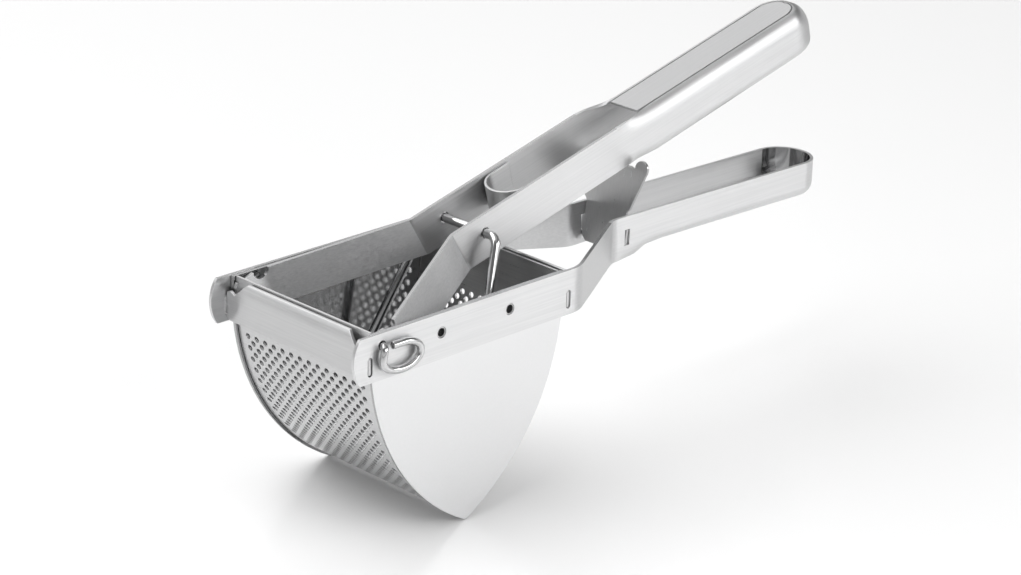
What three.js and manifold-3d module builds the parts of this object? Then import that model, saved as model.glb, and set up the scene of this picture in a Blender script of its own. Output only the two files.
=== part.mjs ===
// Potato ricer with a V-shaped hopper, a strap frame and a hinged press handle.
// Millimetres, +Z up. +X runs from the front of the hopper to the end of the handles.
// The object is symmetrical about the XZ plane, apart from the finger loop of the hinge pin.
// It stands closed on the pointed lower edge of its hopper, at Z = 0.
import * as THREE from 'three';
import { mergeVertices } from 'three/addons/utils/BufferGeometryUtils.js';
import Module from 'manifold-3d';

const wasm = await Module();
wasm.setup();

// ---- driving dimensions ------------------------------------------------------------------
const GAP = 0.3; // clearance between pieces that touch
const TOP_Z = 98; // top edge of the frame strap, and the rim of the hopper

const STRAP = { height: 20, thick: 1.5, halfWidth: 45, endBulge: 3.3 };
const NECK = { startX: 127.5, endX: 179.5, frontRadius: 18, rearRadius: 12 }; // S-bend corners
const TROUGH = { halfWidth: 14.2, wall: 11.5, curl: 6, curlFrom: 187, curlTo: 212, endX: 324 };
const TROUGH_STATIONS = [195, 204, 214]; // where the growing curl of the trough is sampled
const DROOP = { fromX: 150, slope: 0.0205 }; // the lower handle falls away slightly

const ARCH = { midX: 64.7, radius: 101, overlap: 46.8, springZ: 89.1, tipRadius: 3 };
const PLATE_THICK = 1.5;
const BASKET = { inset: 1.2, thick: 1, hem: 1.3, hemHeight: 5, cornerCut: 38.3, cornerZ: 86 };

const RAIL = { thick: 1.4, frontX: 7.9, rearX: 119.8, bottomZ: 78.8, topZ: 97.3 };
const RAIL_NOTCH = { shoulder: 31.5, valley: 38, hump: 41, valleyZ: 90.8, humpZ: 92.2 };
const SLOT = { width: 2.6, bottomZ: 80.8, topZ: 89.1 };
const TAB = { bottomZ: 81.4, topZ: 88.5 };

const RIVET = { x: [47.3, 85.9], z: 89.6, hole: 2.5, shank: 2.3, bore: 1.9, head: 3.2, depth: 3 };

const HINGE = { x: 15, z: 92.8, wire: 1.6, hole: 2.1, farEnd: 46.5 };
const LOOP = { y: -47.4, x: 23.5, z: 86.9, halfLength: 10.2, halfHeight: 5.7, tailX: 18.2 };

const PRESS_ANGLE = THREE.MathUtils.degToRad(14.6); // slope of the closed upper handle
const ARM = { top: 3.3, bottom: -16.7, thick: 1.5, frontU: -7, frontY: 41.3, splayU: 8.5 };
const ARM_SPLAY_END = 71;
const ARM_RADII = { splay: 10, fold: 3.5 }; // inside the two bends of each arm
const ARM_NOSE = { rise: 2, heelU: 4, toeU: 17, toeFall: 3 }; // rounded front end below the hinge
const ARM_NOTCH = { fromU: 6.5, toU: 12.2, bottom: 2.5, centre: [9, 2.4], radius: 3.4 };
const ARM_FOLD_LEAN = 0.3; // the folds of the arms lean back by this much per mm of depth
const GRIP = { halfWidth: 13.2, endCentreU: 291, endReach: 18, bottom: -20.8, curl: 6, endCurl: 3.5 };
const LIP = { top: 1.9, side: 4.4, sideDrop: 7, end: 9.4, endDrop: 15 }; // rolled top edge of the grip
const GRIP_FROM = 172;
const GRIP_TO = 196;
const GRIP_STATIONS = [172, 178, 184, 190, 196]; // where the rounding of the grip is sampled
const TONGUE_RADIUS = 4.6;
const COVER = { thick: 1.1, fromU: 190, top: 1.7, edge: 0.4 };
const BRIDGE = { noseU: 107, endU: 128, top: 2.2, bottom: -12.2, thick: 1.2 };

const BAIL = { u: 88.5, w: -5, wire: 2, hole: 2.5, shoulderY: 20.2, kneeY: 34.9, hookY: 40.2 };
const BAIL_LEG = 85;
const BAIL_KNEE = 68; // length of the splayed part of each leg
const BAIL_LEAN = THREE.MathUtils.degToRad(22);

const STOP = { x: 188.8, z: 88, lean: 8, thick: 1.4, bottomZ: 79.2, topZ: 119, neckZ: 99.8 };
const STOP_EAR = { y: 17.3, z: 119.2, radius: 3.7 };
const STOP_TAB = { bottomZ: 84, topZ: 90.6 };
const STOP_SLOT = { width: 3, clearance: 0.4 };

const CROSS_BAR = { width: 16, thick: 1.5, z: 24 };
const PUSHER = { clearance: 3, thick: 1.5, topZ: 36, halfWidth: 39.2, cheekY: 37.7, cheekThick: 1.2 };

// ---- small helpers -----------------------------------------------------------------------
const rad = THREE.MathUtils.degToRad;

function toSolid(geometry) {
  const g = geometry.clone();
  g.deleteAttribute('normal');
  g.deleteAttribute('uv');
  const merged = mergeVertices(g, 1e-4);
  const vertProperties = new Float32Array(merged.attributes.position.array);
  const triVerts = new Uint32Array(merged.index.array);
  return new wasm.Manifold(new wasm.Mesh({ numProp: 3, vertProperties, triVerts }));
}

function toGeometry(solid) {
  const mesh = solid.getMesh();
  const g = new THREE.BufferGeometry();
  g.setAttribute('position', new THREE.BufferAttribute(new Float32Array(mesh.vertProperties), 3));
  g.setIndex(new THREE.BufferAttribute(new Uint32Array(mesh.triVerts), 1));
  return g;
}

function cut(geometry, ...cutters) {
  let solid = toSolid(geometry);
  for (const cutter of cutters) solid = solid.subtract(toSolid(cutter));
  return toGeometry(solid);
}

function join(geometry, ...others) {
  let solid = toSolid(geometry);
  for (const other of others) solid = solid.add(toSolid(other));
  return toGeometry(solid);
}

// A shape drawn in (x, z), made solid from y = fromY to y = toY.
function slabY(shape, fromY, toY, curveSegments = 12) {
  const options = { depth: toY - fromY, bevelEnabled: false, curveSegments };
  const g = new THREE.ExtrudeGeometry(shape, options);
  return g.rotateX(Math.PI / 2).translate(0, toY, 0);
}

function boxBetween(low, high) {
  const size = high.map((v, i) => v - low[i]);
  const g = new THREE.BoxGeometry(...size);
  return g.translate(low[0] + size[0] / 2, low[1] + size[1] / 2, low[2] + size[2] / 2);
}

function rodY(radius, x, z, fromY, toY, sides = 20) {
  const g = new THREE.CylinderGeometry(radius, radius, toY - fromY, sides);
  return g.translate(x, (fromY + toY) / 2, z);
}

function mirrored(geometry) {
  const g = geometry.clone().scale(1, -1, 1);
  const index = g.index ? Array.from(g.index.array) : [...Array(g.attributes.position.count).keys()];
  for (let i = 0; i < index.length; i += 3) {
    [index[i], index[i + 1]] = [index[i + 1], index[i]];
  }
  g.setIndex(index);
  return g;
}

// A wire of round section along smooth 3-D points.
function wire(points, radius, steps, sides = 10) {
  const curve = new THREE.CatmullRomCurve3(points, false, 'centripetal');
  const section = new THREE.Shape();
  section.absarc(0, 0, radius, 0, Math.PI * 2, false);
  const options = { steps, extrudePath: curve, bevelEnabled: false, curveSegments: sides };
  return new THREE.ExtrudeGeometry(section, options);
}

// Points of a polyline whose corners are rounded; each corner is a Vector3 with an own radius.
function roundedLine(corners, radii, steps = 5) {
  const points = [corners[0].clone()];
  for (let i = 1; i < corners.length - 1; i += 1) {
    const before = corners[i - 1].clone().sub(corners[i]).normalize();
    const after = corners[i + 1].clone().sub(corners[i]).normalize();
    const half = before.angleTo(after) / 2;
    const reach = radii[i] / Math.tan(half);
    const start = corners[i].clone().addScaledVector(before, reach);
    const end = corners[i].clone().addScaledVector(after, reach);
    const bisector = before.clone().add(after).normalize();
    const centre = corners[i].clone().addScaledVector(bisector, radii[i] / Math.sin(half));
    const a = start.clone().sub(centre);
    const b = end.clone().sub(centre);
    const turn = a.angleTo(b);
    for (let k = 0; k <= steps; k += 1) {
      const t = (k / steps) * turn;
      const p = a.clone().multiplyScalar(Math.sin(turn - t)).addScaledVector(b, Math.sin(t));
      points.push(p.divideScalar(Math.sin(turn)).add(centre));
    }
  }
  points.push(corners[corners.length - 1].clone());
  return points;
}

// Stations of a strip in plan: a point and the mitred normal that points inwards (to the left).
function stations(points) {
  return points.map((p, i) => {
    const before = points[Math.max(i - 1, 0)];
    const after = points[Math.min(i + 1, points.length - 1)];
    const d1 = i > 0 ? p.clone().sub(before).normalize() : after.clone().sub(p).normalize();
    const d2 = i < points.length - 1 ? after.clone().sub(p).normalize() : d1;
    const n1 = new THREE.Vector2(-d1.y, d1.x);
    const n2 = new THREE.Vector2(-d2.y, d2.x);
    const n = n1.clone().add(n2).normalize();
    return { x: p.x, y: p.y, normal: n.divideScalar(n.dot(n1)) };
  });
}

// Closed section of a strip: its outer face from top to bottom, then its inner face back up.
// Each outline point is [distance inwards, height].
function stripSection(outline, thick) {
  const inner = outline.map((p, i) => {
    const a = outline[Math.max(i - 1, 0)];
    const b = outline[Math.min(i + 1, outline.length - 1)];
    const length = Math.hypot(b[0] - a[0], b[1] - a[1]);
    return [p[0] - (thick * (b[1] - a[1])) / length, p[1] + (thick * (b[0] - a[0])) / length];
  });
  return [...outline, ...inner.reverse()];
}

// Solid swept along stations, with its own section at each one.
function sweptStrip(line, sectionAt, place) {
  const position = [];
  const sections = line.map((s) => sectionAt(s));
  const count = sections[0].length;
  line.forEach((s, i) => {
    for (const [inward, height] of sections[i]) {
      const p = place(s.x + s.normal.x * inward, s.y + s.normal.y * inward, height);
      position.push(...p);
    }
  });
  const index = [];
  for (let i = 0; i < line.length - 1; i += 1) {
    for (let k = 0; k < count; k += 1) {
      const a = i * count + k;
      const b = i * count + ((k + 1) % count);
      index.push(a, b, a + count, b, b + count, a + count);
    }
  }
  // the ends are ladders of quads between the outer and the inner face
  const last = (line.length - 1) * count;
  for (let k = 0; k < count / 2 - 1; k += 1) {
    const m = count - 1 - k;
    index.push(k, m, k + 1, k + 1, m, m - 1);
    index.push(last + k, last + k + 1, last + m, last + k + 1, last + m - 1, last + m);
  }
  const g = new THREE.BufferGeometry();
  g.setAttribute('position', new THREE.Float32BufferAttribute(position, 3));
  g.setIndex(index);
  return g;
}

function arcPoints(cx, cz, radius, from, to, steps) {
  const points = [];
  for (let k = 0; k <= steps; k += 1) {
    const t = from + ((to - from) * k) / steps;
    points.push([cx + radius * Math.cos(t), cz + radius * Math.sin(t)]);
  }
  return points;
}

function blend(a, b, t) {
  return a.map((p, i) => [p[0] + (b[i][0] - p[0]) * t, p[1] + (b[i][1] - p[1]) * t]);
}

function smooth(value, from, to) {
  return THREE.MathUtils.smoothstep(value, from, to);
}

const root = new THREE.Group();
root.name = 'potato_ricer';
const ricer = new THREE.Group();
root.add(ricer);

function steel(colour, roughness) {
  return new THREE.MeshStandardMaterial({ color: colour, roughness, metalness: 1 });
}

function add(parent, name, geometry, colour, roughness) {
  const g = geometry.clone();
  g.computeVertexNormals();
  const mesh = new THREE.Mesh(g, steel(colour, roughness));
  mesh.name = name;
  parent.add(mesh);
}

const SATIN = 0xd6d7d9;
const POLISHED = 0xdfe0e2;

// ---- frame band: both straps, both S-bends and the lower handle, in one piece --------------
function troughSection(x) {
  const bottom = TOP_Z - STRAP.height;
  const flat = [];
  const curled = [];
  const wallZ = TOP_Z - TROUGH.wall;
  const arc = arcPoints(TROUGH.curl, wallZ, TROUGH.curl, Math.PI, Math.PI * 1.5, 5);
  for (const z of [TOP_Z, (TOP_Z + wallZ) / 2]) {
    flat.push([0, z]);
    curled.push([0, z]);
  }
  arc.forEach((p, k) => {
    flat.push([0, wallZ + ((bottom - wallZ) * k) / (arc.length - 1)]);
    curled.push(p);
  });
  const t = smooth(x, TROUGH.curlFrom, TROUGH.curlTo);
  return stripSection(blend(flat, curled, t), STRAP.thick);
}

function frameBand() {
  const corners = [
    [0, -STRAP.halfWidth], [NECK.startX, -STRAP.halfWidth], [NECK.endX, -TROUGH.halfWidth],
    [TROUGH_STATIONS[0], -TROUGH.halfWidth],
  ].map(([x, y]) => new THREE.Vector3(x, y, 0));
  const bends = roundedLine(corners, [0, NECK.frontRadius, NECK.rearRadius, 0]);
  const near = bends.map((p) => new THREE.Vector2(p.x, p.y));
  for (const x of TROUGH_STATIONS.slice(1)) near.push(new THREE.Vector2(x, -TROUGH.halfWidth));
  const centre = TROUGH.endX - TROUGH.halfWidth;
  const bow = arcPoints(centre, 0, TROUGH.halfWidth, -Math.PI / 2, Math.PI / 2, 20);
  const far = near.map((p) => new THREE.Vector2(p.x, -p.y)).reverse();
  const plan = [...near, ...bow.map(([x, y]) => new THREE.Vector2(x, y)), ...far];
  const droop = (x) => DROOP.slope * Math.max(x - DROOP.fromX, 0);
  const band = sweptStrip(stations(plan), (s) => troughSection(s.x), (x, y, z) => [x, y, z - droop(x)]);

  const midZ = TOP_Z - STRAP.height / 2;
  const half = STRAP.height / 2;
  const endRadius = (half * half + STRAP.endBulge ** 2) / (2 * STRAP.endBulge);
  const spread = Math.asin((half + 0.2) / endRadius);
  const nose = new THREE.Shape();
  nose.moveTo(-1, midZ + half + 1);
  nose.lineTo(-1, midZ - half - 1);
  nose.lineTo(STRAP.endBulge + 0.2, midZ - half - 1);
  nose.absarc(endRadius, midZ, endRadius, Math.PI + spread, Math.PI - spread, true);
  nose.lineTo(STRAP.endBulge + 0.2, midZ + half + 1);
  const wide = STRAP.halfWidth + 2;
  const cutters = [slabY(nose, -wide, wide, 8), rodY(HINGE.hole, HINGE.x, HINGE.z, -wide, wide)];
  for (const x of [RAIL.frontX, RAIL.rearX]) {
    const slot = new THREE.Shape();
    const round = SLOT.width / 2;
    slot.absarc(x + RAIL.thick / 2, SLOT.topZ - round, round, 0, Math.PI, false);
    slot.absarc(x + RAIL.thick / 2, SLOT.bottomZ + round, round, Math.PI, Math.PI * 2, false);
    cutters.push(slabY(slot, -wide, wide, 6));
  }
  for (const x of RIVET.x) cutters.push(rodY(RIVET.hole, x, RIVET.z, -wide, wide));
  const tabX = STOP.x + Math.tan(rad(STOP.lean)) * ((STOP_TAB.bottomZ + STOP_TAB.topZ) / 2 - STOP.z);
  const slotLow = [tabX - STOP_SLOT.width / 2, -wide, STOP_TAB.bottomZ - STOP_SLOT.clearance];
  const slotHigh = [tabX + STOP_SLOT.width / 2, wide, STOP_TAB.topZ + STOP_SLOT.clearance];
  cutters.push(boxBetween(slotLow, slotHigh));
  return cut(band, ...cutters);
}

// ---- hopper: two side plates and one folded perforated sheet -------------------------------
// Half length of the pointed arch at height z, for an arch drawn with the given radius.
function archHalf(radius, z) {
  const below = Math.max(ARCH.springZ - z, 0);
  return Math.sqrt(radius * radius - below * below) - ARCH.overlap;
}

// The two arcs of the arch meet in a small round tip. This is the height of its centre.
function tipCentreZ(radius) {
  return ARCH.springZ - Math.sqrt((radius - ARCH.tipRadius) ** 2 - ARCH.overlap ** 2);
}

// Outline of the arch from its top left corner, round the tip, to its top right corner.
function archLine(radius, topZ, steps) {
  const left = [];
  if (topZ > ARCH.springZ) left.push([-archHalf(radius, topZ), topZ]);
  const from = Math.asin((ARCH.springZ - Math.min(topZ, ARCH.springZ)) / radius);
  const to = Math.acos(ARCH.overlap / (radius - ARCH.tipRadius));
  for (let k = 0; k <= steps; k += 1) {
    const t = from + ((to - from) * k) / steps;
    left.push([-(radius * Math.cos(t) - ARCH.overlap), ARCH.springZ - radius * Math.sin(t)]);
  }
  const centreZ = tipCentreZ(radius);
  const halfTurn = (to + Math.PI / 2) / 2;
  left.push([-ARCH.tipRadius * Math.cos(halfTurn), centreZ - ARCH.tipRadius * Math.sin(halfTurn)]);
  const right = left.map(([x, z]) => [-x, z]).reverse();
  const tip = [0, centreZ - ARCH.tipRadius];
  return [...left, tip, ...right].map(([x, z]) => new THREE.Vector2(ARCH.midX + x, z));
}

function sidePlate() {
  const shape = new THREE.Shape(archLine(ARCH.radius, TOP_Z - GAP, 20));
  const outer = -(STRAP.halfWidth - STRAP.thick - GAP);
  const plate = slabY(shape, outer, outer + PLATE_THICK);
  const cutters = [rodY(HINGE.hole, HINGE.x, HINGE.z, outer - 1, outer + 3)];
  for (const x of RIVET.x) cutters.push(rodY(RIVET.hole, x, RIVET.z, outer - 1, outer + 3));
  return cut(plate, ...cutters);
}

function basket() {
  const half = STRAP.halfWidth - STRAP.thick - PLATE_THICK - 2 * GAP;
  const outer = archLine(ARCH.radius - BASKET.inset, TOP_Z - GAP, 20);
  const inner = archLine(ARCH.radius - BASKET.inset - BASKET.thick, TOP_Z - GAP, 20);
  const sheet = slabY(new THREE.Shape([...outer, ...inner.reverse()]), -half, half);
  const pieces = [];
  for (const side of [-1, 1]) {
    const x = ARCH.midX + side * (archHalf(ARCH.radius - BASKET.inset, TOP_Z) - 0.3);
    const low = Math.min(x, x + side * (BASKET.hem + 0.3));
    const high = Math.max(x, x + side * (BASKET.hem + 0.3));
    const z = TOP_Z - GAP;
    const width = side < 0 ? BASKET.cornerCut : half;
    pieces.push(boxBetween([low, -width, z - BASKET.hemHeight], [high, width, z]));
  }
  const corners = [-1, 1].map((side) => {
    const low = [0, side < 0 ? -half - 1 : BASKET.cornerCut, BASKET.cornerZ];
    return boxBetween(low, [HINGE.x + 8, side < 0 ? -BASKET.cornerCut : half + 1, TOP_Z + 1]);
  });
  return cut(join(sheet, ...pieces), ...corners);
}

// ---- rails, stop plate and rivets ------------------------------------------------------------
function frontRail() {
  const half = STRAP.halfWidth - STRAP.thick - GAP;
  const right = [
    [RAIL_NOTCH.shoulder, RAIL.topZ], [RAIL_NOTCH.valley, RAIL_NOTCH.valleyZ],
    [RAIL_NOTCH.hump, RAIL_NOTCH.humpZ], [half, RAIL_NOTCH.humpZ - 1],
    [half, TAB.topZ], [half + STRAP.thick, TAB.topZ], [half + STRAP.thick, TAB.bottomZ],
    [half, TAB.bottomZ],
  ];
  const round = arcPoints(half - 2.4, RAIL.bottomZ + 2.4, 2.4, 0, -Math.PI / 2, 4);
  right.push(...round);
  const left = right.map(([y, z]) => [-y, z]).reverse();
  const shape = new THREE.Shape([...right, ...left].map(([y, z]) => new THREE.Vector2(y, z)));
  const g = new THREE.ExtrudeGeometry(shape, { depth: RAIL.thick, bevelEnabled: false });
  g.rotateX(Math.PI / 2).rotateZ(Math.PI / 2);
  return g.translate(RAIL.frontX, 0, 0);
}

function rearRail() {
  const half = STRAP.halfWidth - STRAP.thick - GAP;
  const x = RAIL.rearX;
  const plate = boxBetween([x, -half, RAIL.bottomZ], [x + RAIL.thick, half, TOP_Z - GAP]);
  const reach = half + STRAP.thick;
  return join(plate, boxBetween([x, -reach, TAB.bottomZ], [x + RAIL.thick, reach, TAB.topZ]));
}

function stopPlate() {
  const inside = TROUGH.halfWidth - STRAP.thick - GAP;
  const right = [
    [inside - 2.5, STOP.bottomZ], [inside, STOP.bottomZ + 2.5], [inside, STOP_TAB.bottomZ],
    [inside + STRAP.thick, STOP_TAB.bottomZ], [inside + STRAP.thick, STOP_TAB.topZ],
    [inside, STOP_TAB.topZ], [inside, STOP.neckZ - 1.5], [inside + 1.5, STOP.neckZ],
  ];
  const ear = arcPoints(STOP_EAR.y, STOP_EAR.z, STOP_EAR.radius, rad(-20), rad(183), 14);
  right.push(...ear, [STOP_EAR.y - STOP_EAR.radius - 0.4, STOP.topZ - 0.5], [11, STOP.topZ]);
  const left = right.map(([y, z]) => [-y, z]).reverse();
  const shape = new THREE.Shape([...right, ...left].map(([y, z]) => new THREE.Vector2(y, z - STOP.z)));
  const g = new THREE.ExtrudeGeometry(shape, { depth: STOP.thick, bevelEnabled: false });
  g.rotateX(Math.PI / 2).rotateZ(Math.PI / 2).translate(-STOP.thick / 2, 0, 0);
  return g.rotateY(rad(STOP.lean)).translate(STOP.x, 0, STOP.z);
}

// Tubular rivet: flush outside in the strap, with a flat head inside the hopper.
function plugRivet(x) {
  const outside = STRAP.halfWidth - 0.2;
  const headFace = STRAP.halfWidth - STRAP.thick - PLATE_THICK - 2 * GAP;
  const profile = [
    [0, headFace - 0.8], [RIVET.head, headFace - 0.8], [RIVET.head, headFace], [RIVET.shank, headFace],
    [RIVET.shank, outside], [RIVET.bore, outside], [RIVET.bore, outside - RIVET.depth],
    [0, outside - RIVET.depth],
  ].map(([r, h]) => new THREE.Vector2(r, h));
  const g = new THREE.LatheGeometry(profile, 20);
  return g.translate(x, 0, RIVET.z);
}

// ---- hinge pin: a wire across the hopper, bent into a finger loop -----------------------------
function hingePin() {
  const points = [[HINGE.x, HINGE.farEnd, HINGE.z], [HINGE.x, 30, HINGE.z], [HINGE.x, 10, HINGE.z]];
  points.push([HINGE.x, -10, HINGE.z], [HINGE.x, -30, HINGE.z], [HINGE.x, LOOP.y + 3, HINGE.z]);
  points.push([HINGE.x - 0.5, LOOP.y + 0.4, HINGE.z - 0.8], [HINGE.x - 1.2, LOOP.y, HINGE.z - 2.8]);
  for (let k = 0; k <= 12; k += 1) {
    const t = Math.PI * (0.98 + (1.47 * k) / 12);
    const x = LOOP.x + LOOP.halfLength * Math.cos(t);
    points.push([x, LOOP.y, LOOP.z + LOOP.halfHeight * Math.sin(t)]);
  }
  points.push([LOOP.tailX, LOOP.y, LOOP.z + LOOP.halfHeight + 0.1]);
  return wire(points.map((p) => new THREE.Vector3(...p)), HINGE.wire, 64, 5);
}

// ---- upper handle, in its own frame: u along the handle, w up from the hinge --------------------
// Share of the way from the side of the grip (0) to its very end (1), for a point at u.
function endShare(u) {
  const reach = THREE.MathUtils.clamp((u - GRIP.endCentreU) / GRIP.endReach, 0, 1);
  return reach * reach;
}

function lipWidth(u) {
  return LIP.side + (LIP.end - LIP.side) * endShare(u);
}

function gripSection(u) {
  const flat = [];
  const rounded = [];
  const width = lipWidth(u);
  const drop = LIP.sideDrop + (LIP.endDrop - LIP.sideDrop) * endShare(u);
  const curlRadius = GRIP.curl + (GRIP.endCurl - GRIP.curl) * endShare(u);
  const lip = arcPoints(0, 0, 1, Math.PI / 2, Math.PI, 7);
  const curl = arcPoints(curlRadius, GRIP.bottom + curlRadius, curlRadius, Math.PI, Math.PI * 1.5, 5);
  const shoulder = ARM.top - 7;
  lip.forEach(([across, up], k) => {
    flat.push([0, ARM.top + ((shoulder - ARM.top) * k) / (lip.length - 1)]);
    rounded.push([width * (1 + across), LIP.top - drop * (1 - up)]);
  });
  const bend = ARM.bottom + 6;
  curl.forEach((p, k) => {
    flat.push([0, bend + ((ARM.bottom - bend) * k) / (curl.length - 1)]);
    rounded.push(p);
  });
  return stripSection(blend(flat, rounded, smooth(u, GRIP_FROM, GRIP_TO)), ARM.thick);
}

// Half of the grip's round end in plan, from its near side to its far side.
function gripBow() {
  const bow = arcPoints(0, 0, 1, -Math.PI / 2, Math.PI / 2, 24);
  return bow.map(([u, y]) => new THREE.Vector2(GRIP.endCentreU + GRIP.endReach * u, GRIP.halfWidth * y));
}

function upperHandleBand() {
  const corners = [
    [ARM.frontU, -ARM.frontY], [ARM.splayU, -ARM.frontY], [ARM_SPLAY_END, -GRIP.halfWidth],
    [100, -GRIP.halfWidth],
  ].map(([u, y]) => new THREE.Vector3(u, y, 0));
  const radii = [0, ARM_RADII.splay, ARM_RADII.fold, 0];
  const near = roundedLine(corners, radii).map((p) => new THREE.Vector2(p.x, p.y));
  for (const u of GRIP_STATIONS) near.push(new THREE.Vector2(u, -GRIP.halfWidth));
  const far = near.map((p) => new THREE.Vector2(p.x, -p.y)).reverse();
  const plan = [...near, ...gripBow(), ...far];
  // the folds lean back, so the lower edge of each arm lies further along the handle
  const lean = (u, w) => {
    const share = smooth(u, -2, 10) * (1 - smooth(u, 84, 100));
    return ARM_FOLD_LEAN * (ARM.top - w) * share;
  };
  const band = sweptStrip(stations(plan), (s) => gripSection(s.x), (u, y, w) => [u + lean(u, w), y, w]);

  const nose = new THREE.Shape();
  const before = ARM.frontU - ARM_NOSE.rise;
  const below = ARM.bottom - ARM_NOSE.toeFall;
  nose.moveTo(before, TONGUE_RADIUS + ARM_NOSE.rise);
  nose.lineTo(before, below);
  nose.lineTo(ARM_NOSE.toeU + 1, below);
  nose.lineTo(ARM_NOSE.toeU, ARM.bottom);
  nose.lineTo(ARM_NOSE.heelU, -TONGUE_RADIUS - ARM_NOSE.rise);
  nose.absarc(0, 0, TONGUE_RADIUS, rad(-70), rad(90), true);
  nose.lineTo(0, TONGUE_RADIUS + ARM_NOSE.rise);
  const wide = STRAP.halfWidth;
  const { fromU, toU, bottom, centre, radius } = ARM_NOTCH;
  const cutters = [
    slabY(nose, -wide, wide, 10),
    rodY(HINGE.hole, 0, 0, -wide, wide),
    rodY(BAIL.hole, BAIL.u, BAIL.w, -wide, wide),
    rodY(radius, ...centre, -wide, wide),
    boxBetween([fromU, -wide, bottom], [toU, wide, ARM.top + 2]),
  ];
  return cut(band, ...cutters);
}

function handleCoverPlate() {
  const line = stations(gripBow()).map((s) => {
    const inward = lipWidth(s.x) + COVER.edge;
    return new THREE.Vector2(s.x + s.normal.x * inward, s.y + s.normal.y * inward);
  });
  const half = GRIP.halfWidth - LIP.side - COVER.edge;
  line[0].set(GRIP.endCentreU, -half);
  line[line.length - 1].set(GRIP.endCentreU, half);
  const start = [new THREE.Vector2(COVER.fromU, half), new THREE.Vector2(COVER.fromU, -half)];
  const options = { depth: COVER.thick, bevelEnabled: false };
  const g = new THREE.ExtrudeGeometry(new THREE.Shape([...line, ...start]), options);
  return g.translate(0, 0, COVER.top - COVER.thick);
}

function bridgeStrap() {
  const radius = GRIP.halfWidth - ARM.thick - GAP;
  const centre = BRIDGE.noseU + radius;
  const bow = arcPoints(centre, 0, radius, Math.PI / 2, Math.PI * 1.5, 16);
  const line = [[BRIDGE.endU, radius], ...bow, [BRIDGE.endU, -radius]];
  const plan = line.map(([u, y]) => new THREE.Vector2(u, y));
  const outline = [[0, BRIDGE.top], [0, BRIDGE.bottom]];
  const section = stripSection(outline, BRIDGE.thick);
  return sweptStrip(stations(plan), () => section, (u, y, w) => [u, y, w]);
}

// ---- bail wire and pusher -----------------------------------------------------------------------
function pointOnHandle(u, w) {
  const x = HINGE.x + u * Math.cos(PRESS_ANGLE) - w * Math.sin(PRESS_ANGLE);
  return [x, HINGE.z + u * Math.sin(PRESS_ANGLE) + w * Math.cos(PRESS_ANGLE)];
}

const [BAIL_X, BAIL_Z] = pointOnHandle(BAIL.u, BAIL.w);
const FOOT_X = BAIL_X - BAIL_LEG * Math.sin(BAIL_LEAN);
const FOOT_Z = BAIL_Z - BAIL_LEG * Math.cos(BAIL_LEAN);

function bailWire() {
  const share = BAIL_KNEE / BAIL_LEG;
  const kneeX = BAIL_X + (FOOT_X - BAIL_X) * share;
  const kneeZ = BAIL_Z + (FOOT_Z - BAIL_Z) * share;
  const half = [
    [FOOT_X, BAIL.hookY, FOOT_Z], [FOOT_X, BAIL.kneeY, FOOT_Z], [kneeX, BAIL.kneeY, kneeZ],
    [BAIL_X, BAIL.shoulderY, BAIL_Z],
  ];
  const corners = [...half, ...half.map(([x, y, z]) => [x, -y, z]).reverse()];
  const line = corners.map((p) => new THREE.Vector3(...p));
  const points = roundedLine(line, [0, 2.6, 12, 5, 5, 12, 2.6, 0], 4);
  const path = new THREE.CurvePath();
  for (let i = 1; i < points.length; i += 1) path.add(new THREE.LineCurve3(points[i - 1], points[i]));
  const section = new THREE.Shape();
  section.absarc(0, 0, BAIL.wire, 0, Math.PI * 2, false);
  const options = { steps: 90, extrudePath: path, bevelEnabled: false, curveSegments: 5 };
  return new THREE.ExtrudeGeometry(section, options);
}

function pusherPlate() {
  const radius = ARCH.radius - BASKET.inset - BASKET.thick - PUSHER.clearance;
  const outer = archLine(radius, PUSHER.topZ, 12);
  const inner = archLine(radius - PUSHER.thick, PUSHER.topZ, 12);
  const shape = new THREE.Shape([...outer, ...inner.reverse()]);
  return slabY(shape, -PUSHER.halfWidth, PUSHER.halfWidth);
}

function pusherCheek() {
  const radius = ARCH.radius - BASKET.inset - BASKET.thick - PUSHER.clearance - PUSHER.thick - GAP;
  const shape = new THREE.Shape(archLine(radius, PUSHER.topZ, 10));
  const plate = slabY(shape, -PUSHER.cheekY - PUSHER.cheekThick, -PUSHER.cheekY);
  return cut(plate, rodY(BAIL.hole, FOOT_X, FOOT_Z, -PUSHER.cheekY - 3, -PUSHER.cheekY + 3));
}

function pusherCrossBar() {
  const reach = PUSHER.cheekY - GAP;
  const { width, thick, z } = CROSS_BAR;
  return boxBetween([ARCH.midX - width / 2, -reach, z], [ARCH.midX + width / 2, reach, z + thick]);
}

// ---- assembly -------------------------------------------------------------------------------------
add(ricer, 'frame_band', frameBand(), SATIN, 0.3);
add(ricer, 'side_plate_left', sidePlate(), SATIN, 0.28);
add(ricer, 'side_plate_right', mirrored(sidePlate()), SATIN, 0.28);
add(ricer, 'perforated_basket', basket(), SATIN, 0.32);
add(ricer, 'front_rail', frontRail(), SATIN, 0.3);
add(ricer, 'rear_rail', rearRail(), SATIN, 0.3);
add(ricer, 'stop_plate', stopPlate(), SATIN, 0.3);
RIVET.x.forEach((x, i) => {
  const place = i === 0 ? 'front' : 'rear';
  add(ricer, `plug_rivet_right_${place}`, plugRivet(x), POLISHED, 0.25);
  add(ricer, `plug_rivet_left_${place}`, mirrored(plugRivet(x)), POLISHED, 0.25);
});
add(ricer, 'hinge_pin', hingePin(), POLISHED, 0.12);

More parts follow.
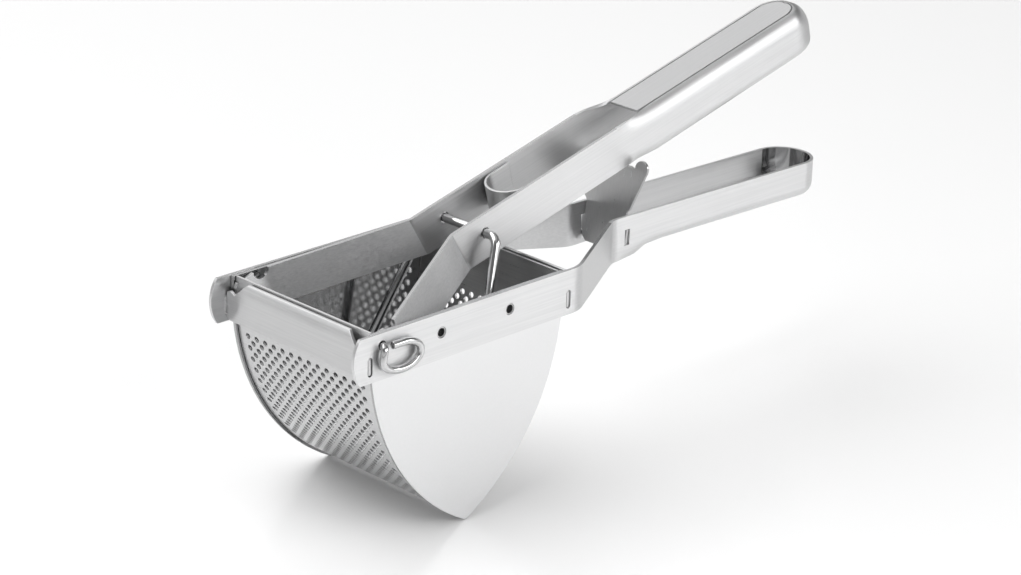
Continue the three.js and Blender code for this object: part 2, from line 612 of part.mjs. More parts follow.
const handle = new THREE.Group();
handle.position.set(HINGE.x, 0, HINGE.z);
handle.rotation.y = -PRESS_ANGLE;
ricer.add(handle);
add(handle, 'upper_handle_band', upperHandleBand(), SATIN, 0.3);
add(handle, 'handle_cover_plate', handleCoverPlate(), SATIN, 0.35);
add(handle, 'bridge_strap', bridgeStrap(), SATIN, 0.25);

add(ricer, 'bail_wire', bailWire(), POLISHED, 0.12);
add(ricer, 'pusher_plate', pusherPlate(), SATIN, 0.25);
add(ricer, 'pusher_cheek_left', pusherCheek(), SATIN, 0.25);
add(ricer, 'pusher_cheek_right', mirrored(pusherCheek()), SATIN, 0.25);
add(ricer, 'pusher_cross_bar', pusherCrossBar(), SATIN, 0.25);

// the origin lies under the middle of the object's box
ricer.position.set(-TROUGH.endX / 2, 0, ARCH.tipRadius - tipCentreZ(ARCH.radius));

export default root;
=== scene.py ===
"""Looks of the potato ricer: a brushed and polished stainless-steel press, shown closed.

Sizes of the press are written in millimetres in the CAD frame and turned into metres by MM.
The floor and the lights are placed in metres.
+X runs from the front of the hopper to the ends of the handles, +Z is up.
"""
import math

import bmesh
import bpy
from mathutils import Matrix, Vector


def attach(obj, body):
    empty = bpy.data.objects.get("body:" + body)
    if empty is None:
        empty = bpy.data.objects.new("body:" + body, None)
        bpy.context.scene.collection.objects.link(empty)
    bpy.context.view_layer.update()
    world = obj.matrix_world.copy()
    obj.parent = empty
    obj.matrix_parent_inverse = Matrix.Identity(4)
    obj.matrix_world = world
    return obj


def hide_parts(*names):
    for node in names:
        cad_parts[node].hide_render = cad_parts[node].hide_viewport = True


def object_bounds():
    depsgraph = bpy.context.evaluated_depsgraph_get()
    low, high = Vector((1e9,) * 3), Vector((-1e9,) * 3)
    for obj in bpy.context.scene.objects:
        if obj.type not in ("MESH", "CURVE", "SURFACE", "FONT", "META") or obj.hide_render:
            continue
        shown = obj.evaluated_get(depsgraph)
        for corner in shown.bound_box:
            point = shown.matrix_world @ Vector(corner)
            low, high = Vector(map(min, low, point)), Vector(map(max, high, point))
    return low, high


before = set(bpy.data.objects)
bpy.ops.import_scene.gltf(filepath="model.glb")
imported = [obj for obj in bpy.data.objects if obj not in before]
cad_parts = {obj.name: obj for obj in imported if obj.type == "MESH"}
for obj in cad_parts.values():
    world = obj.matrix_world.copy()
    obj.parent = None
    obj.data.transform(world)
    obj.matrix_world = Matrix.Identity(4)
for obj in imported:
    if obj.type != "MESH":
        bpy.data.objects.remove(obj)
cad_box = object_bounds()

# ---- sizes, in millimetres ---------------------------------------------------------------
MM = 0.001
ORIGIN_X = 162.0  # the front of the frame strap lies this far in front of the origin

ARCH_MID_X = 64.7 - ORIGIN_X
ARCH_OVERLAP = 46.8  # how far each arc's centre lies beyond the middle of the arch
SPRING_Z = 89.1
RIM_Z = 97.7
SHEET_OUTER = 99.8
SHEET_THICK = 1.0
SHEET_TIP = 2.6
SHEET_HALF = 41.4

HOLE_RADIUS = 1.35
HOLE_PITCH = 5.5
ROW_PITCH = 2.86
ROW_HOLES = 14  # every second row has one less
ROWS = 29
PLAIN_TOP_Z = 73.6  # the perforation starts below this height
STRIPS_ABOVE = 12  # plain strips of the sheet above and below the perforation
STRIPS_BELOW = 8
CELL_CUTS = 4  # each side of the cell round a hole is cut into this many
NEAR = 1e-6

HINGE = Vector((15.0 - ORIGIN_X, 0.0, 92.8))
PIN_RADIUS = 1.6
PIN_FAR_END = 46.5
LOOP_Y = -47.4
LOOP_CENTRE = (23.5 - ORIGIN_X, 86.9)
LOOP_HALF = (10.2, 5.7)
LOOP_TAIL_X = 18.2 - ORIGIN_X
LOOP_TAIL_RISE = 0.1
LOOP_FROM = 0.98  # half turns at which the loop starts, and half turns that it runs through
LOOP_SWEEP = 1.47
LOOP_STEPS = 40
# The bend into the loop, as x and z from the hinge line and y from the plane of the loop
LOOP_BEND = ((0.0, 3.0, 0.0), (-0.1, 1.6, -0.15), (-0.5, 0.45, -0.8), (-0.9, 0.05, -1.8))

PRESS_ANGLE = math.radians(14.6)
BAIL_U = 88.5
BAIL_W = -5.0
BAIL_RADIUS = 2.0
BAIL_SHOULDER_Y = 20.2
BAIL_KNEE_Y = 34.9
BAIL_HOOK_Y = 40.2
BAIL_LEG = 85.0
BAIL_KNEE = 68.0
BAIL_LEAN = math.radians(22.0)
BAIL_BENDS = (2.6, 12.0, 5.0)  # bend radii at the hook, the knee and the shoulder

RIVET_RIM_Y = 44.6
TROUGH_FROM_X = 26.0
GRIP_FROM_X = 16.0
FOLD_X = -79.0  # the arms splay in front of this fold
BOW_X = 147.8  # centre of the round end of the lower handle

ROLL_FROM_Z = 91.5  # the front rail curves back above this height
ROLL_TOP_Z = 97.3
ROLL_DEPTH = 1.7
ROLL_DROP = 0.25  # how much the rolled edge sinks, as a share of ROLL_DEPTH
ROLL_STEPS = 6

COVER_HALF = 8.4  # half width of the cover plate
SEAM = 0.45
RISE = 0.3  # how much higher the cover plate sits

# Widths of the rounded edges
RIVET_EDGE = 0.15
STRAP_EDGE = 0.2
GRIP_EDGE = 0.25
THIN_EDGE = 0.3
RAIL_EDGE = 0.35
PLATE_EDGE = 0.6

# Mesh settings
CAD_MERGE = 0.002
TUBE_MERGE = 0.001
FLAT_ANGLE = math.radians(0.4)  # flatter edges than this are dissolved
ROUNDED_ANGLE = 40.0  # sharper edges than this are rounded, in degrees
TUBE_END_ANGLE = 60.0
SHARP_ANGLE = 32.0  # sharper edges than this stay sharp in the shading, in degrees
SMOOTH_ANGLE = 40.0  # the same for the wires and the perforated sheet
WEIGHT_OF_LARGE_FACES = 80
TUBE_RESOLUTION = 4  # Blender's bevel resolution of a round wire
BEND_STEPS = 10

# ---- camera and light --------------------------------------------------------------------
CAMERA_AZIMUTH = math.radians(-45.0)
CAMERA_ELEVATION = math.radians(21.44)
CAMERA_ROLL = math.radians(1.51)
CAMERA_TARGET = Vector((-31.1, 0.0, 74.2)) * MM
CAMERA_DISTANCE = 1300.9 * MM
CAMERA_LENS = 105.78
CAMERA_SENSOR = 36.0

LIGHT_AIM = Vector((0.0, 0.0, 0.05))
LIGHTS = (  # name, place, width and height, watts
    ("key", (-0.9, 0.9, 1.9), (2.6, 2.6), 47.0),
    ("back", (1.0, 1.6, 1.5), (1.8, 1.4), 9.0),
    ("side", (1.1, -1.5, 0.75), (1.4, 0.7), 12.0),
    ("front", (-0.1, -1.8, 1.1), (1.2, 0.8), 9.0),
)

# Greys of the studio round the press by height: 0 is straight down, 0.5 the horizon, 1 straight up
STUDIO_GREYS = (
    (0.0, 0.4), (0.5, 0.45), (0.55, 0.9), (0.61, 0.7), (0.67, 0.2), (0.85, 0.24), (1.0, 0.7),
)
STUDIO_STRENGTH = 0.95

FLOOR_HALF = 6.0
FLOOR_GAP = 0.0002
FLOOR_GREY = 0.93
FLOOR_ROUGHNESS = 0.24
FLOOR_SPECULAR = 0.4


def make_camera():
    data = bpy.data.cameras.new("camera")
    data.sensor_width = CAMERA_SENSOR
    data.lens = CAMERA_LENS
    camera = bpy.data.objects.new("camera", data)
    bpy.context.scene.collection.objects.link(camera)
    towards = Vector((
        math.sin(CAMERA_AZIMUTH) * math.cos(CAMERA_ELEVATION),
        -math.cos(CAMERA_AZIMUTH) * math.cos(CAMERA_ELEVATION),
        math.sin(CAMERA_ELEVATION),
    ))
    turn = towards.to_track_quat("Z", "Y").to_matrix().to_4x4()
    roll = Matrix.Rotation(CAMERA_ROLL, 4, "Z")
    place = Matrix.Translation(CAMERA_TARGET + towards * CAMERA_DISTANCE)
    camera.matrix_world = place @ turn @ roll
    bpy.context.scene.camera = camera


def area_light(name, place, size, watts):
    data = bpy.data.lights.new(name, "AREA")
    data.shape = "RECTANGLE"
    data.size, data.size_y = size
    data.energy = watts
    light = bpy.data.objects.new(name, data)
    bpy.context.scene.collection.objects.link(light)
    turn = (Vector(place) - LIGHT_AIM).to_track_quat("Z", "Y").to_matrix().to_4x4()
    light.matrix_world = Matrix.Translation(Vector(place)) @ turn


def make_world():
    world = bpy.data.worlds.new("studio")
    bpy.context.scene.world = world
    world.use_nodes = True
    tree = world.node_tree
    background = tree.nodes["Background"]
    coordinate = tree.nodes.new("ShaderNodeTexCoord")
    split = tree.nodes.new("ShaderNodeSeparateXYZ")
    ramp = tree.nodes.new("ShaderNodeValToRGB")
    fill_ramp(ramp, STUDIO_GREYS)
    # The height runs from -1 to 1 and the ramp from 0 to 1
    lift = tree.nodes.new("ShaderNodeMath")
    lift.operation = "MULTIPLY_ADD"
    lift.inputs[1].default_value = 0.5
    lift.inputs[2].default_value = 0.5
    tree.links.new(coordinate.outputs["Generated"], split.inputs[0])
    tree.links.new(split.outputs["Z"], lift.inputs[0])
    tree.links.new(lift.outputs[0], ramp.inputs[0])
    tree.links.new(ramp.outputs["Color"], background.inputs["Color"])
    background.inputs["Strength"].default_value = STUDIO_STRENGTH


def fill_ramp(ramp, stops):
    elements = ramp.color_ramp.elements
    while len(elements) < len(stops):
        elements.new(0.5)
    for element, (position, grey) in zip(elements, stops):
        element.position = position
        element.color = (grey, grey, grey, 1.0)


def make_floor():
    mesh = bpy.data.meshes.new("floor")
    half = FLOOR_HALF
    corners = [(-half, -half, 0), (half, -half, 0), (half, half, 0), (-half, half, 0)]
    mesh.from_pydata(corners, [], [(0, 1, 2, 3)])
    floor = bpy.data.objects.new("floor", mesh)
    bpy.context.scene.collection.objects.link(floor)
    floor.location.z = cad_box[0][2] - FLOOR_GAP
    material = bpy.data.materials.new("floor_white")
    material.use_nodes = True
    shader = material.node_tree.nodes["Principled BSDF"]
    shader.inputs["Base Color"].default_value = (FLOOR_GREY, FLOOR_GREY, FLOOR_GREY, 1.0)
    shader.inputs["Roughness"].default_value = FLOOR_ROUGHNESS
    shader.inputs["Specular IOR Level"].default_value = FLOOR_SPECULAR
    mesh.materials.append(material)


# ---- materials ---------------------------------------------------------------------------
# Fineness of the grain per metre along x, y and z
ALONG_X = (22.0, 1300.0, 1300.0)
ALONG_Y = (1300.0, 30.0, 1300.0)
UPRIGHT = (1300.0, 1300.0, 40.0)
EVEN = (900.0, 900.0, 900.0)

NOISE_LOW = 0.3  # the noise between these two is stretched over the wanted range
NOISE_HIGH = 0.7
GRAIN_DETAIL = 3.0
GRAIN_DEPTH = 0.05
GRAIN_SHARE = 0.65  # what the grain and the clouds add to the shade of the steel
CLOUD_SHARE = 0.35
CLOUD_SCALE = 28.0
CLOUD_DETAIL = 2.0
DARK_TINT = (1.0, 1.005, 1.013)  # the dark grain is a little bluer than the light
LIGHT_TINT = (1.0, 1.0, 1.004)
BRUSHED_ANISOTROPY = 0.8
QUARTER_TURN = 0.25


def link_noise(tree, vector, scale, detail):
    noise = tree.nodes.new("ShaderNodeTexNoise")
    noise.inputs["Scale"].default_value = scale
    noise.inputs["Detail"].default_value = detail
    tree.links.new(vector, noise.inputs["Vector"])
    return noise.outputs["Fac"]


def link_range(tree, value, low, high):
    node = tree.nodes.new("ShaderNodeMapRange")
    node.inputs["From Min"].default_value = NOISE_LOW
    node.inputs["From Max"].default_value = NOISE_HIGH
    node.inputs["To Min"].default_value = low
    node.inputs["To Max"].default_value = high
    tree.links.new(value, node.inputs["Value"])
    return node.outputs["Result"]


def link_brushing(tree, shader, direction):
    """Spread the gloss across the brush lines, which run along direction in the piece's own axes."""
    lines = tree.nodes.new("ShaderNodeVectorTransform")
    lines.vector_type = "VECTOR"
    lines.convert_from = "OBJECT"
    lines.convert_to = "WORLD"
    lines.inputs["Vector"].default_value = direction
    tree.links.new(lines.outputs["Vector"], shader.inputs["Tangent"])
    shader.inputs["Anisotropic"].default_value = BRUSHED_ANISOTROPY
    shader.inputs["Anisotropic Rotation"].default_value = QUARTER_TURN


def link_shade(tree, shader, grain, cloud, grey, depth):
    """Colour between grey and a darker grey, mixed by the grain and by soft clouds."""
    shade = tree.nodes.new("ShaderNodeMix")
    shade.data_type = "RGBA"
    dark = grey * (1.0 - depth)
    shade.inputs["A"].default_value = (*(dark * tint for tint in DARK_TINT), 1.0)
    shade.inputs["B"].default_value = (*(grey * tint for tint in LIGHT_TINT), 1.0)
    mixed = tree.nodes.new("ShaderNodeMath")
    mixed.operation = "MULTIPLY_ADD"
    mixed.inputs[1].default_value = CLOUD_SHARE
    tree.links.new(cloud, mixed.inputs[0])
    tree.links.new(link_range(tree, grain, 0.0, GRAIN_SHARE), mixed.inputs[2])
    tree.links.new(mixed.outputs[0], shade.inputs["Factor"])
    tree.links.new(shade.outputs["Result"], shader.inputs["Base Color"])


def steel(name, grey, roughness, stretch, tilt=0.0, streak=0.05, bump=0.06, brushed=None, depth=0.15):
    """Stainless steel with a fine grain.

    stretch is the fineness of the grain along x, y and z, and tilt turns the grain about y.
    streak is how far the grain changes the roughness, and bump how strong its relief is.
    brushed is the direction of the brush lines, if it has any.
    depth is how much darker the darkest grain is than the brightest.
    """
    material = bpy.data.materials.new(name)
    material.use_nodes = True
    tree = material.node_tree
    shader = tree.nodes["Principled BSDF"]
    shader.inputs["Metallic"].default_value = 1.0
    coordinate = tree.nodes.new("ShaderNodeTexCoord")
    turn = tree.nodes.new("ShaderNodeMapping")
    turn.inputs["Rotation"].default_value = (0.0, tilt, 0.0)
    tree.links.new(coordinate.outputs["Object"], turn.inputs["Vector"])
    grain_space = tree.nodes.new("ShaderNodeMapping")
    grain_space.inputs["Scale"].default_value = stretch
    tree.links.new(turn.outputs["Vector"], grain_space.inputs["Vector"])
    grain = link_noise(tree, grain_space.outputs["Vector"], 1.0, GRAIN_DETAIL)
    cloud = link_noise(tree, coordinate.outputs["Object"], CLOUD_SCALE, CLOUD_DETAIL)

    varied = link_range(tree, grain, roughness - streak, roughness + streak)
    tree.links.new(varied, shader.inputs["Roughness"])
    link_shade(tree, shader, grain, cloud, grey, depth)
    relief = tree.nodes.new("ShaderNodeBump")
    relief.inputs["Strength"].default_value = bump
    relief.inputs["Distance"].default_value = GRAIN_DEPTH * MM
    tree.links.new(grain, relief.inputs["Height"])
    tree.links.new(relief.outputs["Normal"], shader.inputs["Normal"])
    if brushed:
        link_brushing(tree, shader, brushed)
    return material


def make_steels():
    """Every steel of the press, by name. The greys are tuned against the photograph."""
    lengthwise = (1.0, 0.0, 0.0)
    across = (0.0, 1.0, 0.0)
    upright = (0.0, 0.0, 1.0)
    sloping = (math.cos(PRESS_ANGLE), 0.0, math.sin(PRESS_ANGLE))
    steels = (
        steel("satin_strap", 0.69, 0.38, ALONG_X, brushed=lengthwise),
        steel("satin_handle", 0.66, 0.4, ALONG_X, tilt=PRESS_ANGLE, brushed=sloping),
        # painted highlight: the handle steel in a lighter grey, for the splayed arms
        steel("arm_painted_highlight", 0.92, 0.5, ALONG_X, tilt=PRESS_ANGLE, brushed=sloping),
        steel("satin_plate", 0.72, 0.36, EVEN, streak=0.03, bump=0.02, depth=0.04),
        steel("satin_sheet", 0.62, 0.32, ALONG_Y, brushed=across),
        # painted shade: the pusher behind the holes is darker than its steel, so the holes read dark
        steel("press_in_painted_shade", 0.4, 0.26, ALONG_Y, brushed=across),
        steel("satin_rail", 0.6, 0.34, ALONG_Y, brushed=across),
        steel("satin_upright", 0.48, 0.32, UPRIGHT, brushed=upright),
        steel("polished_wire", 0.62, 0.09, EVEN, streak=0.02, bump=0.01),
        # partly a sheared finish, partly painted shade: the dark grey draws dark outlines along the
        # edges
        steel("sheared_edge_painted_shade", 0.4, 0.24, EVEN, streak=0.04),
        steel("shaded_bore", 0.25, 0.3, EVEN),
        # partly a real polish, partly painted shade: a darker grey for faces inside hollows
        steel("polished_inside_painted_shade", 0.4, 0.12, UPRIGHT, streak=0.04, bump=0.01),
    )
    return {material.name: material for material in steels}


# ---- mesh tools --------------------------------------------------------------------------
def add_piece(name, mesh, material, body, replaced):
    piece = bpy.data.objects.new(name, mesh)
    bpy.context.scene.collection.objects.link(piece)
    mesh.materials.clear()
    mesh.materials.append(material)
    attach(piece, body)
    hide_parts(*replaced)
    return piece


def smooth_shading(mesh, degrees):
    mesh.shade_smooth()
    mesh.set_sharp_from_angle(angle=math.radians(degrees))


def finish_faces(mesh, material, chosen):
    """Give one more material to the faces that chosen(centre, normal) picks."""
    mesh.materials.append(material)
    for face in mesh.polygons:
        if chosen(face.center, face.normal):
            face.material_index = len(mesh.materials) - 1


def bevel(width, segments, degrees, **more):
    """Settings of a bevel on the edges that are sharper than degrees."""
    return "BEVEL", {
        "width": width * MM, "segments": segments,
        "limit_method": "ANGLE", "angle_limit": math.radians(degrees), **more,
    }


def with_modifiers(mesh, *settings):
    """The mesh that results from a list of (modifier type, values)."""
    holder = bpy.data.objects.new("holder", mesh)
    bpy.context.scene.collection.objects.link(holder)
    for kind, values in settings:
        modifier = holder.modifiers.new(kind.lower(), kind)
        for key, value in values.items():
            setattr(modifier, key, value)
    graph = bpy.context.evaluated_depsgraph_get()
    result = bpy.data.meshes.new_from_object(holder.evaluated_get(graph))
    bpy.data.objects.remove(holder)
    return result


def roll_back(work):
    """Roll the top of the front rail back towards the hopper."""
    height = ROLL_TOP_Z - ROLL_FROM_Z
    up = (0.0, 0.0, 1.0)
    for k in range(ROLL_STEPS):
        cut = (0.0, 0.0, (ROLL_FROM_Z + height * k / ROLL_STEPS) * MM)
        parts = work.verts[:] + work.edges[:] + work.faces[:]
        bmesh.ops.bisect_plane(work, geom=parts, plane_co=cut, plane_no=up)
    for vert in work.verts:
        rise = max(vert.co.z / MM - ROLL_FROM_Z, 0.0) / height
        vert.co.x += ROLL_DEPTH * MM * rise ** 2
        vert.co.z -= ROLL_DEPTH * ROLL_DROP * MM * rise ** 2


def draw_in(work):
    """Draw in the edge of the cover plate and lift it, which leaves a dark seam beside the grip."""
    low = min(vert.co.x for vert in work.verts)
    high = max(vert.co.x for vert in work.verts)
    for vert in work.verts:
        vert.co.y *= 1.0 - SEAM / COVER_HALF
        share = (vert.co.x - low) / (high - low)
        vert.co.x -= SEAM * MM * share * math.cos(PRESS_ANGLE)
        vert.co.z -= SEAM * MM * share * math.sin(PRESS_ANGLE) - RISE * MM


def refined(node, width, segments=3, reshape=None):
    """Mesh of a CAD node with merged flat faces and softly rounded edges."""
    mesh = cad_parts[node].data.copy()
    work = bmesh.new()
    work.from_mesh(mesh)
    bmesh.ops.remove_doubles(work, verts=work.verts, dist=CAD_MERGE * MM)
    bmesh.ops.dissolve_limit(work, angle_limit=FLAT_ANGLE, verts=work.verts, edges=work.edges)
    if reshape:
        reshape(work)
    work.to_mesh(mesh)
    work.free()
    rounding = bevel(width, segments, ROUNDED_ANGLE, use_clamp_overlap=True, miter_outer="MITER_ARC")
    mesh = with_modifiers(mesh, rounding)
    smooth_shading(mesh, SHARP_ANGLE)
    weights = {"keep_sharp": True, "weight": WEIGHT_OF_LARGE_FACES}
    return with_modifiers(mesh, ("WEIGHTED_NORMAL", weights))


def tube(points, radius):
    """A round wire along points, in millimetres, with closed and rounded ends."""
    curve = bpy.data.curves.new("tube", "CURVE")
    curve.dimensions = "3D"
    curve.bevel_depth = radius * MM
    curve.bevel_resolution = TUBE_RESOLUTION
    curve.use_fill_caps = True
    spline = curve.splines.new("POLY")
    spline.points.add(len(points) - 1)
    for point, place in zip(spline.points, points):
        point.co = (*(Vector(place) * MM), 1.0)
    holder = bpy.data.objects.new("tube", curve)
    bpy.context.scene.collection.objects.link(holder)
    graph = bpy.context.evaluated_depsgraph_get()
    mesh = bpy.data.meshes.new_from_object(holder.evaluated_get(graph))
    bpy.data.objects.remove(holder)
    work = bmesh.new()
    work.from_mesh(mesh)
    bmesh.ops.remove_doubles(work, verts=work.verts, dist=TUBE_MERGE * MM)
    work.to_mesh(mesh)
    work.free()
    mesh = with_modifiers(mesh, bevel(THIN_EDGE, 3, TUBE_END_ANGLE))
    smooth_shading(mesh, SMOOTH_ANGLE)
    return mesh


def rounded_line(corners, radii):
    """Points of a polyline whose corners are rounded, each with its own radius."""
    points = [Vector(corners[0])]
    for before, corner, after, radius in zip(corners, corners[1:], corners[2:], radii):
        back = (Vector(before) - Vector(corner)).normalized()
        ahead = (Vector(after) - Vector(corner)).normalized()
        half = back.angle(ahead) / 2
        reach = radius / math.tan(half)
        centre = Vector(corner) + (back + ahead).normalized() * (radius / math.sin(half))
        start = Vector(corner) + back * reach - centre
        end = Vector(corner) + ahead * reach - centre
        size = start.length
        start.normalize()
        end.normalize()
        turns = [k / BEND_STEPS for k in range(BEND_STEPS + 1)]
        points += [centre + start.slerp(end, turn) * size for turn in turns]
    points.append(Vector(corners[-1]))
    return points


# ---- perforated basket -------------------------------------------------------------------
def arch_line(radius, tip):
    """Half of the arch from the rim down to the rounded tip.

    It returns the point at an arc length, as a function, and the whole length.
    """
    tip_z = SPRING_Z - math.sqrt((radius - tip) ** 2 - ARCH_OVERLAP ** 2)
    side_turn = math.acos(ARCH_OVERLAP / (radius - tip))
    straight = RIM_Z - SPRING_Z
    side = radius * side_turn
    total = straight + side + tip * (math.pi / 2 - side_turn)

    def place(s):
        if s <= straight:
            return Vector((radius - ARCH_OVERLAP, 0.0, RIM_Z - s))
        if s <= straight + side:
            t = (s - straight) / radius
            normal = Vector((math.cos(t), 0.0, -math.sin(t)))
            return Vector((-ARCH_OVERLAP, 0.0, SPRING_Z)) + normal * radius
        t = side_turn + (s - straight - side) / tip
        normal = Vector((math.cos(t), 0.0, -math.sin(t)))
        return Vector((0.0, 0.0, tip_z)) + normal * tip

    return place, total


def perforated_rows(total):
    """Start and end of each strip of the sheet from rim to tip, as arc lengths.

    The third value is None for a plain strip, and else how many holes its row has less than ROW_HOLES.
    """
    top = RIM_Z - SPRING_Z + SHEET_OUTER * math.asin((SPRING_Z - PLAIN_TOP_Z) / SHEET_OUTER)
    strips = [
        (top * k / STRIPS_ABOVE, top * (k + 1) / STRIPS_ABOVE, None) for k in range(STRIPS_ABOVE)
    ]
    for row in range(ROWS):
        strips.append((top + row * ROW_PITCH, top + (row + 1) * ROW_PITCH, row % 2))
    end = top + ROWS * ROW_PITCH
    rest = total - end
    for k in range(STRIPS_BELOW):
        strips.append((end + rest * k / STRIPS_BELOW, end + rest * (k + 1) / STRIPS_BELOW, None))
    return strips


def basket_mesh():
    """The outer surface of the basket, with a hole in the middle of every cell."""
    place, total = arch_line(SHEET_OUTER, SHEET_TIP)
    step_y = HOLE_PITCH / CELL_CUTS
    reach = ROW_HOLES * CELL_CUTS // 2
    columns = [-SHEET_HALF] + [step_y * k for k in range(-reach, reach + 1)] + [SHEET_HALF]
    work = bmesh.new()
    found = {}

    def vertex(side, s, y):
        at_tip = s > total - NEAR
        key = (0 if at_tip else side, round(s, 4), round(y, 4))
        if key not in found:
            point = place(min(s, total))
            x = 0.0 if at_tip else side * point.x
            found[key] = work.verts.new(Vector((ARCH_MID_X + x, y, point.z)) * MM)
        return found[key]

    def quad(side, corners):
        loop = [vertex(side, s, y) for s, y in corners]
        work.faces.new(loop if side < 0 else loop[::-1])

    def plain(side, low, high, from_y, to_y, cuts):
        inside = [y for y in columns if from_y - NEAR <= y <= to_y + NEAR]
        for k in range(cuts):
            s0 = low + (high - low) * k / cuts
            s1 = low + (high - low) * (k + 1) / cuts
            for y0, y1 in zip(inside, inside[1:]):
                quad(side, [(s0, y0), (s1, y0), (s1, y1), (s0, y1)])

    def hole(side, low, high, y):
        middle = (low + high) / 2
        half = HOLE_PITCH / 2
        step_s = (high - low) / CELL_CUTS
        rim = [(low, y - half + k * step_y) for k in range(CELL_CUTS)]
        rim += [(low + k * step_s, y + half) for k in range(CELL_CUTS)]
        rim += [(high, y + half - k * step_y) for k in range(CELL_CUTS)]
        rim += [(high - k * step_s, y - half) for k in range(CELL_CUTS)]
        inner = []
        for s, across in rim:
            turn = math.atan2((s - middle) / (high - low), (across - y) / HOLE_PITCH)
            inner.append((middle + HOLE_RADIUS * math.sin(turn), y + HOLE_RADIUS * math.cos(turn)))
        for k in range(len(rim)):
            after = (k + 1) % len(rim)
            quad(side, [rim[k], inner[k], inner[after], rim[after]])

    for side in (-1, 1):
        for low, high, stagger in perforated_rows(total):
            if stagger is None:
                plain(side, low, high, -SHEET_HALF, SHEET_HALF, 1)
                continue
            count = ROW_HOLES - stagger
            edge = count * HOLE_PITCH / 2
            plain(side, low, high, -SHEET_HALF, -edge, CELL_CUTS)
            plain(side, low, high, edge, SHEET_HALF, CELL_CUTS)
            for k in range(count):
                hole(side, low, high, -edge + HOLE_PITCH * (k + 0.5))
    bmesh.ops.recalc_face_normals(work, faces=work.faces)
    mesh = bpy.data.meshes.new("perforated_sheet")
    work.to_mesh(mesh)
    work.free()
    return mesh


def make_basket(material):
    mesh = basket_mesh()
    solid = {"thickness": SHEET_THICK * MM, "offset": -1.0, "use_even_offset": True}
    mesh = with_modifiers(mesh, ("SOLIDIFY", solid))
    smooth_shading(mesh, SMOOTH_ANGLE)
    add_piece("perforated_sheet", mesh, material, "frame", ["perforated_basket"])


# ---- wires -------------------------------------------------------------------------------
def hinge_pin_points():
    x, z = HINGE.x, HINGE.z
    line = [(x, PIN_FAR_END, z), (x, 0.0, z)]
    line += [(x + dx, LOOP_Y + dy, z + dz) for dx, dy, dz in LOOP_BEND]
    centre_x, centre_z = LOOP_CENTRE
    half_x, half_z = LOOP_HALF
    for k in range(LOOP_STEPS + 1):
        turn = math.pi * (LOOP_FROM + LOOP_SWEEP * k / LOOP_STEPS)
        line.append((centre_x + half_x * math.cos(turn), LOOP_Y, centre_z + half_z * math.sin(turn)))
    line.append((LOOP_TAIL_X, LOOP_Y, centre_z + half_z + LOOP_TAIL_RISE))
    return line


def bail_points():
    top = Vector((
        HINGE.x + BAIL_U * math.cos(PRESS_ANGLE) - BAIL_W * math.sin(PRESS_ANGLE), 0.0,
        HINGE.z + BAIL_U * math.sin(PRESS_ANGLE) + BAIL_W * math.cos(PRESS_ANGLE),
    ))
    down = Vector((-math.sin(BAIL_LEAN), 0.0, -math.cos(BAIL_LEAN)))
    across = Vector((0.0, 1.0, 0.0))
    half = [
        top + down * BAIL_LEG + across * BAIL_HOOK_Y,
        top + down * BAIL_LEG + across * BAIL_KNEE_Y,
        top + down * BAIL_KNEE + across * BAIL_KNEE_Y,
        top + across * BAIL_SHOULDER_Y,
    ]
    other = [Vector((p.x, -p.y, p.z)) for p in reversed(half)]
    return rounded_line(half + other, BAIL_BENDS + BAIL_BENDS[::-1])


# ---- faces with a finish, a painted shade or a painted highlight of their own ------------
# Each function is true for the faces that take the finish, the painted shade or the painted highlight.
# A share says how far a face looks along a direction: 1 is straight along it, 0 is square to it.
SQUARE_ON = 0.9
FACING = 0.8
BROADSIDE = 0.5
LEANING = 0.35
EDGE_ON = 0.3


def inside_bow(centre, normal):
    """The inner faces of the round end of the lower handle."""
    inward = Vector((BOW_X * MM - centre.x, -centre.y, 0.0))
    return inward.x < 0.0 and normal.dot(inward.normalized()) > LEANING


def strap_edge(centre, normal):
    """The sheared edges of the strap in front of the lower handle."""
    return abs(normal.z) > FACING and centre.x < TROUGH_FROM_X * MM


def plate_inside(centre, normal):
    """The face of a side plate that looks into the hopper."""
    return normal.y * centre.y < -SQUARE_ON * abs(centre.y)


def plate_edge(centre, normal):
    """The narrow faces round a side plate."""
    return abs(normal.y) < EDGE_ON


def arm_edge(centre, normal):
    """The sheared edges of the arms in front of the grip."""
    share = abs(normal.z * math.cos(PRESS_ANGLE) - normal.x * math.sin(PRESS_ANGLE))
    return share > FACING and centre.x < GRIP_FROM_X * MM


def splayed_arm(centre, normal):
    """The broad faces of the arms in front of the fold, which get a painted highlight: a lighter grey
    of the handle steel.
    """
    return abs(normal.y) > BROADSIDE and centre.x < FOLD_X * MM


def inside_rivet(centre, normal):
    """The faces of a tubular rivet below its rim."""
    return abs(centre.y) < RIVET_RIM_Y * MM


# ---- pieces ------------------------------------------------------------------------------
def make_strap(steels):
    mesh = refined("frame_band", STRAP_EDGE)
    add_piece("frame_strap", mesh, steels["satin_strap"], "frame", ["frame_band"])
    # painted shade: the inside of the round end of the lower handle is darker
    finish_faces(mesh, steels["polished_inside_painted_shade"], inside_bow)
    # painted shade: a dark outline on the top and bottom edges of the strap
    finish_faces(mesh, steels["sheared_edge_painted_shade"], strap_edge)


def make_end(side, steels):
    """One end of the hopper: its plate and its two rivets."""
    plate = f"side_plate_{side}"
    mesh = refined(plate, PLATE_EDGE)
    add_piece(f"end_plate_{side}", mesh, steels["satin_plate"], "frame", [plate])
    # painted shade: the face that looks into the hopper is darker
    finish_faces(mesh, steels["polished_inside_painted_shade"], plate_inside)
    # painted shade: a dark outline round the side plate
    finish_faces(mesh, steels["sheared_edge_painted_shade"], plate_edge)
    wire = steels["polished_wire"]
    for place in ("front", "rear"):
        rivet = f"plug_rivet_{side}_{place}"
        mesh = refined(rivet, RIVET_EDGE, 2)
        add_piece(f"tubular_rivet_{side}_{place}", mesh, wire, "frame", [rivet])
        finish_faces(mesh, steels["shaded_bore"], inside_rivet)


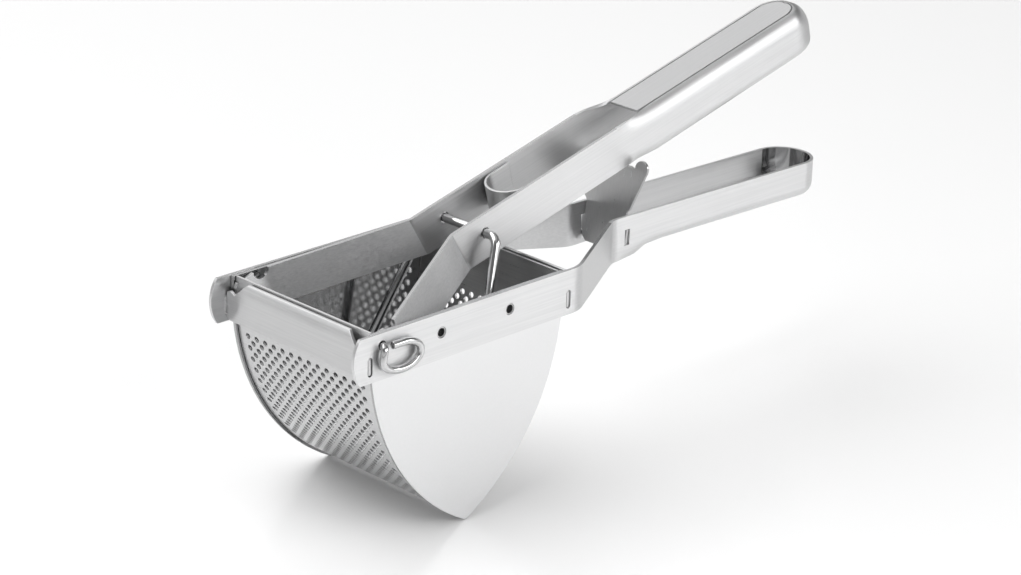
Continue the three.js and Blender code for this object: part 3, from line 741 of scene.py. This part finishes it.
def make_cross_members(steels):
    """The rails in front of and behind the hopper, and the stop between the straps."""
    rail = steels["satin_rail"]
    mesh = refined("front_rail", RAIL_EDGE, reshape=roll_back)
    add_piece("front_cross_rail", mesh, rail, "frame", ["front_rail"])
    mesh = refined("rear_rail", RAIL_EDGE)
    add_piece("rear_cross_rail", mesh, rail, "frame", ["rear_rail"])
    mesh = refined("stop_plate", RAIL_EDGE)
    add_piece("handle_stop", mesh, steels["satin_upright"], "frame", ["stop_plate"])


def make_wires(steels):
    wire = steels["polished_wire"]
    mesh = tube(hinge_pin_points(), PIN_RADIUS)
    add_piece("hinge_wire", mesh, wire, "hinge_pin", ["hinge_pin"])
    mesh = tube(bail_points(), BAIL_RADIUS)
    add_piece("bail", mesh, wire, "bail", ["bail_wire"])


def make_upper_handle(steels):
    handle = steels["satin_handle"]
    mesh = refined("upper_handle_band", GRIP_EDGE)
    add_piece("press_handle", mesh, handle, "upper_handle", ["upper_handle_band"])
    # painted shade: a dark outline on the edges of the arms
    finish_faces(mesh, steels["sheared_edge_painted_shade"], arm_edge)
    # painted highlight: the splayed arms get a lighter grey of the same steel
    finish_faces(mesh, steels["arm_painted_highlight"], splayed_arm)
    mesh = refined("handle_cover_plate", THIN_EDGE, reshape=draw_in)
    add_piece("handle_cover", mesh, handle, "upper_handle", ["handle_cover_plate"])
    mesh = refined("bridge_strap", THIN_EDGE)
    add_piece("handle_bridge", mesh, handle, "upper_handle", ["bridge_strap"])


def make_pusher(steels):
    # painted shade: the pusher is made darker so the holes in front of it look dark
    press = steels["press_in_painted_shade"]
    mesh = refined("pusher_plate", RAIL_EDGE)
    add_piece("pusher_shell", mesh, press, "pusher", ["pusher_plate"])
    for side in ("left", "right"):
        cheek = f"pusher_cheek_{side}"
        add_piece(f"pusher_end_{side}", refined(cheek, THIN_EDGE), press, "pusher", [cheek])
    mesh = refined("pusher_cross_bar", THIN_EDGE)
    add_piece("pusher_bar", mesh, press, "pusher", ["pusher_cross_bar"])


make_camera()
make_world()
make_floor()
for light in LIGHTS:
    area_light(*light)
all_steels = make_steels()
make_strap(all_steels)
for end_side in ("left", "right"):
    make_end(end_side, all_steels)
make_basket(all_steels["satin_sheet"])
make_cross_members(all_steels)
make_wires(all_steels)
make_upper_handle(all_steels)
make_pusher(all_steels)
bpy.context.scene.view_settings.view_transform = "Standard"
